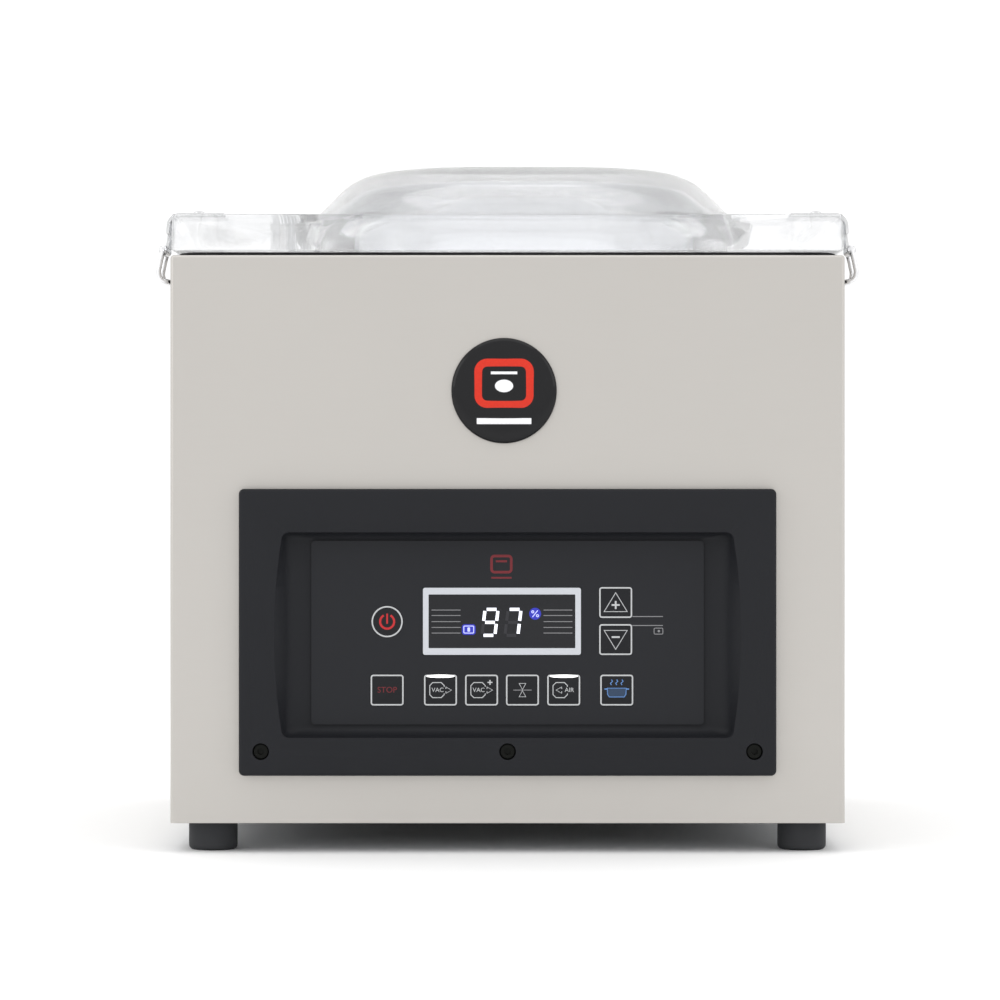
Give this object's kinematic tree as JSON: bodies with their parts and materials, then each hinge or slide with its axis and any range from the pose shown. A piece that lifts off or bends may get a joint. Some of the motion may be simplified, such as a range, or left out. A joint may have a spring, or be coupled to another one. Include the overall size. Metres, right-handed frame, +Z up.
{
  "type": "vacuum chamber sealer",
  "caption": "Tabletop vacuum packing machine: stainless case on rubber feet, clear domed lid hinged at the rear, lifting seal bar, key panel and vane pump inside.",
  "frame": {"origin": "on the floor, under the middle of the machine's bounding box", "axes": "+Z up, +Y to the rear, +X to the user's right; the control panel faces -Y"},
  "size_m": [0.4054, 0.4649, 0.4],
  "materials": {
    "satin_steel": "satin warm grey stainless sheet",
    "zinc_steel": "zinc plated sheet",
    "bright_steel": "bright polished stainless",
    "aluminium": "satin anodised",
    "clear_acrylic": "clear polished acrylic",
    "black_plastic": "fine moulded texture",
    "gloss_black": "glossy black",
    "panel_film": "printed polyester film, satin",
    "foot_rubber": "matt moulded rubber",
    "seal_rubber": "matt extruded rubber",
    "silicone": "matt silicone",
    "seal_tape": "glass cloth coated with PTFE",
    "white_plastic": "matt white",
    "circuit_board": "green solder mask",
    "cast_grey": "grey painted aluminium casting",
    "core_steel": "varnished laminations"
  },
  "bodies": {
    "case": {"case_shell": "satin_steel", "rear_panel": "satin_steel", "vacuum_chamber": "satin_steel", "base_plate": "zinc_steel", "hinge_bracket_left": "zinc_steel", "hinge_bracket_right": "zinc_steel", "exhaust_filter": "zinc_steel", "suction_nozzle": "bright_steel", "hinge_pin_left": "bright_steel", "hinge_pin_right": "bright_steel", "hinge_spring_left": "bright_steel", "hinge_spring_right": "bright_steel", "seal_cylinder_left": "aluminium", "seal_cylinder_right": "aluminium", "valve_block": "aluminium", "front_bezel": "black_plastic", "power_inlet": "black_plastic", "badge": "gloss_black", "bezel_screw_1": "gloss_black", "bezel_screw_2": "gloss_black", "bezel_screw_3": "gloss_black", "control_membrane": "panel_film", "foot_front_left": "foot_rubber", "foot_front_right": "foot_rubber", "foot_rear_left": "foot_rubber", "foot_rear_right": "foot_rubber", "chamber_gasket": "seal_rubber", "vacuum_hose": "seal_rubber", "air_hose_left": "seal_rubber", "air_hose_right": "seal_rubber", "filler_plate": "white_plastic", "display_module": "white_plastic", "control_board": "circuit_board", "pump_motor": "cast_grey", "vacuum_pump": "cast_grey", "transformer": "core_steel"},
    "lid": {"lid_plate": "clear_acrylic", "counter_bar_holder": "aluminium", "silicone_counter_bar": "silicone", "hinge_leaf_left": "bright_steel", "hinge_leaf_right": "bright_steel", "latch_strap_left": "bright_steel", "latch_strap_right": "bright_steel"},
    "latch_left": {"latch_bail_left": "bright_steel"},
    "latch_right": {"latch_bail_right": "bright_steel"},
    "seal_bar": {"seal_bar": "aluminium", "seal_tape": "seal_tape", "seal_piston_left": "bright_steel", "seal_piston_right": "bright_steel"},
    "fan": {"motor_fan": "white_plastic"},
    "rocker": {"rocker_switch": "gloss_black"},
    "key_stop": {"key_stop": "panel_film"},
    "key_vacuum": {"key_vacuum": "panel_film"},
    "key_vacuum_plus": {"key_vacuum_plus": "panel_film"},
    "key_seal": {"key_seal": "panel_film"},
    "key_air": {"key_air": "panel_film"},
    "key_pot": {"key_pot": "panel_film"},
    "key_plus": {"key_plus": "panel_film"},
    "key_minus": {"key_minus": "panel_film"},
    "key_power": {"key_power": "panel_film"}
  },
  "joints": [
    {"name": "lid_hinge", "type": "hinge", "parent": "case", "child": "lid", "pos_m": [0, 0.2215, 0.3462], "axis": [-1, 0, 0], "range_deg": [0, 75]},
    {"name": "latch_left_swing", "type": "hinge", "parent": "lid", "child": "latch_left", "pos_m": [-0.1986, -0.18, 0.3453], "axis": [0, 1, 0], "range_deg": [-5, 110]},
    {"name": "latch_right_swing", "type": "hinge", "parent": "lid", "child": "latch_right", "pos_m": [0.1986, -0.18, 0.3453], "axis": [0, -1, 0], "range_deg": [-5, 110]},
    {"name": "seal_bar_lift", "type": "slide", "parent": "case", "child": "seal_bar", "axis": [0, 0, 1], "range_m": [0, 0.006]},
    {"name": "fan_spin", "type": "hinge", "parent": "case", "child": "fan", "pos_m": [-0.15, 0.05, 0.092], "axis": [1, 0, 0], "continuous": true},
    {"name": "rocker_tilt", "type": "hinge", "parent": "case", "child": "rocker", "pos_m": [0.14, 0.204, 0.0905], "axis": [1, 0, 0], "range_deg": [0, 16]},
    {"name": "key_stop_press", "type": "slide", "parent": "case", "child": "key_stop", "axis": [0, 1, 0], "range_m": [0, 0.0004], "stiffness_N_per_m": 2500, "springref_m": -0.0002},
    {"name": "key_vacuum_press", "type": "slide", "parent": "case", "child": "key_vacuum", "axis": [0, 1, 0], "range_m": [0, 0.0004], "stiffness_N_per_m": 2500, "springref_m": -0.0002},
    {"name": "key_vacuum_plus_press", "type": "slide", "parent": "case", "child": "key_vacuum_plus", "axis": [0, 1, 0], "range_m": [0, 0.0004], "stiffness_N_per_m": 2500, "springref_m": -0.0002},
    {"name": "key_seal_press", "type": "slide", "parent": "case", "child": "key_seal", "axis": [0, 1, 0], "range_m": [0, 0.0004], "stiffness_N_per_m": 2500, "springref_m": -0.0002},
    {"name": "key_air_press", "type": "slide", "parent": "case", "child": "key_air", "axis": [0, 1, 0], "range_m": [0, 0.0004], "stiffness_N_per_m": 2500, "springref_m": -0.0002},
    {"name": "key_pot_press", "type": "slide", "parent": "case", "child": "key_pot", "axis": [0, 1, 0], "range_m": [0, 0.0004], "stiffness_N_per_m": 2500, "springref_m": -0.0002},
    {"name": "key_plus_press", "type": "slide", "parent": "case", "child": "key_plus", "axis": [0, 1, 0], "range_m": [0, 0.0004], "stiffness_N_per_m": 2500, "springref_m": -0.0002},
    {"name": "key_minus_press", "type": "slide", "parent": "case", "child": "key_minus", "axis": [0, 1, 0], "range_m": [0, 0.0004], "stiffness_N_per_m": 2500, "springref_m": -0.0002},
    {"name": "key_power_press", "type": "slide", "parent": "case", "child": "key_power", "axis": [0, 1, 0], "range_m": [0, 0.0004], "stiffness_N_per_m": 2500, "springref_m": -0.0002}
  ]
}
